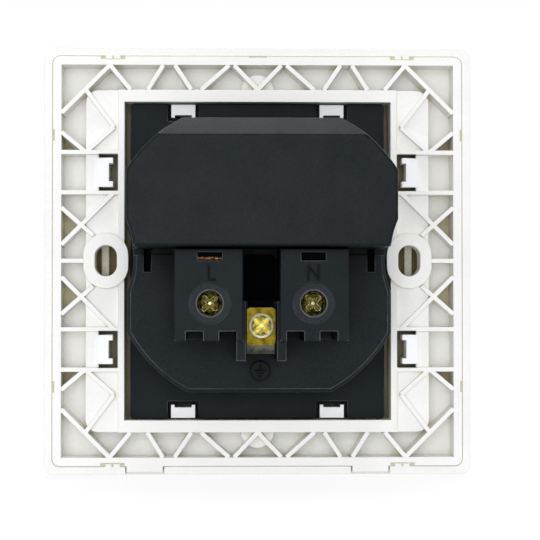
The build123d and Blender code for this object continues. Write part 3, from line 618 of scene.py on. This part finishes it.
# Strands: near black with bright copper patches, painted shade with painted glints
strand_copper = metal(
    "strand_copper", ((0.006, 0.003, 0.001), (0.52, 0.27, 0.125)),
    gloss=(0.25, 0.4), stretch=(1, 2, 2), scratch_depth=0.02, patch=2600.0,
)
gold = metal(
    "gold_plate", ((0.80, 0.52, 0.14), (0.95, 0.70, 0.26)),
    gloss=(0.15, 0.28), stretch=(1, 8, 1), scratch_depth=0.003,
)

variants = {
    "live_screw": brass_dark_reflection,
    "neutral_screw": brass_dark_reflection,
    "face_cover": cover_white,
    "socket_base": base_black,
    "charger_cover": box_black,
    "front_insert": insert_white,
}
for name, node in nodes.items():
    slot = node.material_slots[0].material.name
    node.material_slots[0].material = variants.get(name, finish[slot])


def add_piece(name, mesh, material, body="socket"):
    """Object from a mesh or curve, with its material, that rides on a body."""
    piece = bpy.data.objects.new(name, mesh)
    scene.collection.objects.link(piece)
    piece.data.materials.append(material)
    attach(piece, body)


def close_prism(form, foot, head):
    """Faces of a prism between two rings of corners; gives the face over the head."""
    form.faces.new(foot)
    top = form.faces.new(list(reversed(head)))
    for i in range(len(foot)):
        j = (i + 1) % len(foot)
        form.faces.new((foot[j], foot[i], head[i], head[j]))
    return top


def mesh_from(form, name):
    """Mesh from a form, its faces turned outwards."""
    bmesh.ops.recalc_face_normals(form, faces=form.faces)
    mesh = bpy.data.meshes.new(name)
    form.to_mesh(mesh)
    form.free()
    return mesh


def prism_mesh(name, prisms, segments=3):
    """Prisms in millimetres, each an outline, its two depths and the rounding of its rear
    edges."""
    form = bmesh.new()
    for outline, low, high, rounding in prisms:
        foot = [form.verts.new(place(u, v, low)) for u, v in outline]
        head = [form.verts.new(place(u, v, high)) for u, v in outline]
        top = close_prism(form, foot, head)
        bmesh.ops.bevel(
            form, geom=list(top.edges), offset=rounding * MM, segments=segments, profile=0.5,
            affect="EDGES",
        )
    return mesh_from(form, name)


def bar(u, v, width, height):
    """Rectangle about a centre."""
    return [
        (u - width / 2, v - height / 2),
        (u + width / 2, v - height / 2),
        (u + width / 2, v + height / 2),
        (u - width / 2, v + height / 2),
    ]


def ring_parts(u, v, radius, stroke, count):
    """Ring cut into blunt wedges that meet end to end."""
    inner, outer = radius - stroke / 2, radius + stroke / 2
    parts = []
    for i in range(count):
        a, b = (2 * math.pi * k / count for k in (i, i + 1))
        corners = ((inner, a), (outer, a), (outer, b), (inner, b))
        parts.append([(u + r * math.cos(turn), v + r * math.sin(turn)) for r, turn in corners])
    return parts


# Marks of the terminals
MARK_SINK = 0.1
MARK_RISE = 0.26
MARK_ROUND = 0.05


def add_mark(name, outlines, depth):
    """Low letters or signs that stand on a face."""
    span = (depth - MARK_SINK, depth + MARK_RISE)
    mesh = prism_mesh(name, [(outline, *span, MARK_ROUND) for outline in outlines], segments=2)
    add_piece(name, mesh, mark_black)


# Letter of the live pole on its terminal block
LETTER_V = -2.8
LETTER_H = 2.9
LETTER_LOW = LETTER_V - LETTER_H / 2
LETTER_TOP = LETTER_V + LETTER_H / 2
STROKE = 0.36
L_STEM_U = -TERMINAL_U - 0.2
L_FOOT_U = -TERMINAL_U + 0.52
L_WIDTH = 1.5
live_outlines = [
    bar(L_STEM_U, LETTER_V, STROKE, LETTER_H),
    bar(L_FOOT_U, LETTER_LOW + STROKE / 2, L_WIDTH - STROKE, STROKE),
]
add_mark("live_mark", live_outlines, TOWER_DEPTH)

# Letter of the neutral pole on its terminal block
N_LEFT = TERMINAL_U - 0.95
N_RIGHT = TERMINAL_U + 0.95
N_SLANT_H = 0.6
slant = [
    (N_LEFT, LETTER_TOP),
    (N_LEFT, LETTER_TOP - N_SLANT_H),
    (N_RIGHT, LETTER_LOW),
    (N_RIGHT, LETTER_LOW + N_SLANT_H),
]
neutral_outlines = [
    bar(N_LEFT, LETTER_V, STROKE, LETTER_H),
    bar(N_RIGHT, LETTER_V, STROKE, LETTER_H),
    slant,
]
add_mark("neutral_mark", neutral_outlines, TOWER_DEPTH)

# Earth sign under the earth terminal: a ring, a stem by rise and height, bars by rise and width
EARTH_MARK = (0.15, -21.4)
EARTH_RING_R = 1.9
EARTH_RING_PARTS = 40
EARTH_STROKE = 0.28
EARTH_STEM = (0.65, 1.1)
EARTH_BARS = ((0.05, 2.1), (-0.5, 1.4), (-1.05, 0.7))
sign_u, sign_v = EARTH_MARK
stem_rise, stem_h = EARTH_STEM
earth_outlines = ring_parts(sign_u, sign_v, EARTH_RING_R, EARTH_STROKE, EARTH_RING_PARTS)
earth_outlines.append(bar(sign_u, sign_v + stem_rise, EARTH_STROKE, stem_h))
for rise, width in EARTH_BARS:
    earth_outlines.append(bar(sign_u, sign_v + rise, width, EARTH_STROKE))
add_mark("earth_mark", earth_outlines, BACK_DEPTH)

# Bare strands of the live wire, seen through the slot over the live terminal
STRANDS = 7
STRAND_R = 0.11
STRAND_LENGTH = 4.6
STRAND_STEPS = 14
STRAND_TURNS = 0.9
STRAND_SPREAD = 1.9
STRAND_LOOSE = 0.35
STRAND_STRAY = 0.05
STRAND_PLACE = (-TERMINAL_U, PEEP_V - 0.35, TOWER_DEPTH - TOWER_WALL - 0.45)


def strand_bundle(name, centre):
    """Twisted strands along u, as tubes round one line."""
    u, v, depth = centre
    curve = bpy.data.curves.new(name, "CURVE")
    curve.dimensions = "3D"
    curve.bevel_depth = STRAND_R * MM
    curve.bevel_resolution = 2
    for k in range(STRANDS):
        line = curve.splines.new("NURBS")
        line.points.add(STRAND_STEPS - 1)
        for i, point in enumerate(line.points):
            t = i / (STRAND_STEPS - 1)
            turn = 2 * math.pi * (k / STRANDS + STRAND_TURNS * t)
            spread = STRAND_R * (STRAND_SPREAD + STRAND_LOOSE * math.sin(5 * t + k))
            stray = STRAND_STRAY * math.sin(9 * t + 2 * k)
            where = place(
                u + (t - 0.5) * STRAND_LENGTH,
                v + spread * math.sin(turn) + stray,
                depth + spread * math.cos(turn),
            )
            point.co = (*where, 1.0)
        line.order_u = 3
        line.use_endpoint_u = True
    return curve


strands = strand_bundle("live_strands", STRAND_PLACE)
add_piece("live_strands", strands, strand_copper)

# Stiffening ribs behind the wall screw slots: a foot plate and a rib, by width, rise and rounding
SLOT_RIB_U = 30.6
SLOT_RIB_H = 9.0
SLOT_RIB_SINK = 0.1
SLOT_RIB_STEPS = ((6.2, 0.2, 0.08), (1.6, 1.6, 0.3))
# The foot plate and rib are coloured as the shade inside the slots, not as white plastic
for side, name in ((1, "left_slot_rib"), (-1, "right_slot_rib")):
    rib_steps = []
    for width, rise, rounding in SLOT_RIB_STEPS:
        outline = bar(side * SLOT_RIB_U, 0, width, SLOT_RIB_H)
        rib_steps.append((outline, COVER_BACK - SLOT_RIB_SINK, COVER_BACK + rise, rounding))
    add_piece(name, prism_mesh(name, rib_steps), rib_painted_shade)


def rounded_square(half, corner, steps):
    """Outline of a square with round corners, in millimetres."""
    points = []
    reach = (half - corner) * math.sqrt(2)
    for quarter in range(4):
        turn = quarter * math.pi / 2
        middle = turn + math.pi / 4
        corner_u, corner_v = reach * math.cos(middle), reach * math.sin(middle)
        for i in range(steps + 1):
            a = turn + math.pi / 2 * i / steps
            points.append((corner_u + corner * math.cos(a), corner_v + corner * math.sin(a)))
    return points


def strip_mesh(name, outer, inner, low, high):
    """Closed band between two outlines with as many points, between two depths."""
    form = bmesh.new()
    rings = [
        [form.verts.new(place(u, v, depth)) for u, v in outline]
        for outline, depth in ((outer, low), (outer, high), (inner, high), (inner, low))
    ]
    count = len(outer)
    for ring, following in zip(rings, rings[1:] + rings[:1]):
        for i in range(count):
            j = (i + 1) % count
            form.faces.new((ring[i], ring[j], following[j], following[i]))
    return mesh_from(form, name)


# Tan strip in the gap between the cover's wall and the frame: painted light, so the gap reads
# pale
GAP_FILL_LAP = 0.7
GAP_FILL_LOW = FRAME_REAR - 2.6
GAP_FILL_HIGH = FRAME_REAR - 0.3
CORNER_STEPS = 6
gap_fill = strip_mesh(
    "cover_gap_fill",
    rounded_square(FRAME_HALF + COVER_GAP, FRAME_CORNER + COVER_GAP, CORNER_STEPS),
    rounded_square(FRAME_HALF - GAP_FILL_LAP, FRAME_CORNER - GAP_FILL_LAP, CORNER_STEPS),
    GAP_FILL_LOW,
    GAP_FILL_HIGH,
)
add_piece("cover_gap_fill", gap_fill, gap_fill_tan)

# Blind pockets under the latch slots: a floor and a lip, each by its v, width and height
# Painted shade: black matte pieces that make the latch slots read dark
POCKET_LOW = BACK_DEPTH - 2.6
POCKET_HIGH = BACK_DEPTH - 1.6
POCKET_ROUND = 0.1
POCKET_PARTS = ((-0.55, 2.6, 4.7), (-3.1, 3.4, 0.5))
for side, name in ((1, "left_latch_shade"), (-1, "right_latch_shade")):
    walls = [
        (bar(side * LATCH_U, v, width, height), POCKET_LOW, POCKET_HIGH, POCKET_ROUND)
        for v, width, height in POCKET_PARTS
    ]
    add_piece(name, prism_mesh(name, walls), shade_black)

# Shades that close the slots over the terminals from within: a thin plate on the sill and a strip
# Painted shade: black matte pieces that make the slots over the terminals read dark
SILL = TOWER_DEPTH - TOWER_WALL
SLOT_SHADE_PLATE = (SILL - 0.1, SILL + 0.12, 0.03)
SLOT_SHADE_PLATE_W = 4.4
SLOT_SHADE_STRIP_V = -0.2
SLOT_SHADE_STRIP_SIZE = (4.7, 0.8)
SLOT_SHADE_STRIP_ROUND = 0.1
SLOT_SHADES = (
    ("live_slot_shade", -TERMINAL_U, 0.575, 0.75, (SILL - 2.3, SILL - 1.7)),
    ("neutral_slot_shade", TERMINAL_U, PEEP_V, 1.5, (SILL - 0.6, SILL - 0.1)),
)
for name, u, plate_v, plate_h, strip_span in SLOT_SHADES:
    slot_shade_parts = [
        (bar(u, plate_v, SLOT_SHADE_PLATE_W, plate_h), *SLOT_SHADE_PLATE),
        (bar(u, SLOT_SHADE_STRIP_V, *SLOT_SHADE_STRIP_SIZE), *strip_span, SLOT_SHADE_STRIP_ROUND),
    ]
    add_piece(name, prism_mesh(name, slot_shade_parts), shade_black)

# Dark sheet between the terminals, its corners cut, and a strip on the earth block: painted shade
SHEET_HALF_W = 3.3
SHEET_LOW_V = -7.9
SHEET_TOP_V = 0.8
SHEET_CUT = 0.6
SHEET_SPAN = (BACK_DEPTH - 0.1, BACK_DEPTH + 0.15)
SHEET_ROUND = 0.05
BLOCK_STRIP = (0.0, -8.55, 4.9, 1.1)
BLOCK_STRIP_SPAN = (EARTH_BLOCK_DEPTH - 0.3, EARTH_BLOCK_DEPTH + 0.1)
BLOCK_STRIP_ROUND = 0.04
sheet_outline = [
    (-SHEET_HALF_W, SHEET_LOW_V),
    (SHEET_HALF_W, SHEET_LOW_V),
    (SHEET_HALF_W, SHEET_TOP_V - SHEET_CUT),
    (SHEET_HALF_W - SHEET_CUT, SHEET_TOP_V),
    (SHEET_CUT - SHEET_HALF_W, SHEET_TOP_V),
    (-SHEET_HALF_W, SHEET_TOP_V - SHEET_CUT),
]
shade_sheet_parts = [
    (sheet_outline, *SHEET_SPAN, SHEET_ROUND),
    (bar(*BLOCK_STRIP), *BLOCK_STRIP_SPAN, BLOCK_STRIP_ROUND),
]
shade_sheet = prism_mesh("terminal_shade_sheet", shade_sheet_parts)
add_piece("terminal_shade_sheet", shade_sheet, shade_black)

# Gold contact pads under the tongues of the ports
PAD_ROW = (-3.5, -1.0, 1.0, 3.5)
PAD_HALF = 0.5
PAD_TIP = 0.2
PAD_FRONT = TONGUE_FRONT + 0.6
PAD_SHOULDER = PAD_FRONT + 0.4
PAD_BACK = TONGUE_FRONT + 9.0
PAD_LOW_V = PORT_V - 0.08
PAD_HIGH_V = PORT_V + 0.05
PAD_OUTLINE = (
    (-PAD_HALF, PAD_BACK),
    (-PAD_HALF, PAD_SHOULDER),
    (-PAD_TIP, PAD_FRONT),
    (PAD_TIP, PAD_FRONT),
    (PAD_HALF, PAD_SHOULDER),
    (PAD_HALF, PAD_BACK),
)


def pads_mesh(name, u):
    """Four contact strips with tapered tips on the underside of one tongue."""
    form = bmesh.new()
    for offset in PAD_ROW:
        low, high = (
            [form.verts.new(place(u + offset + du, v, depth)) for du, depth in PAD_OUTLINE]
            for v in (PAD_LOW_V, PAD_HIGH_V)
        )
        close_prism(form, low, high)
    return mesh_from(form, name)


for side, name in ((1, "left_usb_pads"), (-1, "right_usb_pads")):
    add_piece(name, pads_mesh(name, side * PORT_U), gold)

# Floor: a pale sheet under the plate that shows white and keeps a soft shadow
FLOOR_DROP = 0.2
FLOOR_RADIUS = 320.0
FLOOR_GLOW = 0.9
PAPER_SCALE = 40.0
floor_mesh = bpy.data.meshes.new("floor")
form = bmesh.new()
bmesh.ops.create_circle(form, cap_ends=True, segments=96, radius=FLOOR_RADIUS * MM)
bmesh.ops.translate(form, verts=form.verts, vec=(0, 0, cad_box[0].z - FLOOR_DROP * MM))
form.to_mesh(floor_mesh)
form.free()
floor = bpy.data.objects.new("floor", floor_mesh)
scene.collection.objects.link(floor)
floor.visible_diffuse = False
floor.visible_shadow = False
floor_finish, tree, shader = new_material("floor_sheet")
paper = ramp(tree, noise(tree, PAPER_SCALE), (grey(0.90), grey(0.93)))
tree.links.new(paper, shader.inputs["Base Color"])
shader.inputs["Roughness"].default_value = 0.8
shader.inputs["Specular IOR Level"].default_value = 0.1
glow = tree.nodes.new("ShaderNodeEmission")
light_path = tree.nodes.new("ShaderNodeLightPath")
shown = tree.nodes.new("ShaderNodeMixShader")
glow_share = math_node(tree, "MULTIPLY", light_path.outputs["Is Camera Ray"], FLOOR_GLOW)
tree.links.new(glow_share, shown.inputs["Fac"])
tree.links.new(shader.outputs[0], shown.inputs[1])
tree.links.new(glow.outputs[0], shown.inputs[2])
tree.links.new(shown.outputs[0], tree.nodes["Material Output"].inputs["Surface"])
floor.data.materials.append(floor_finish)
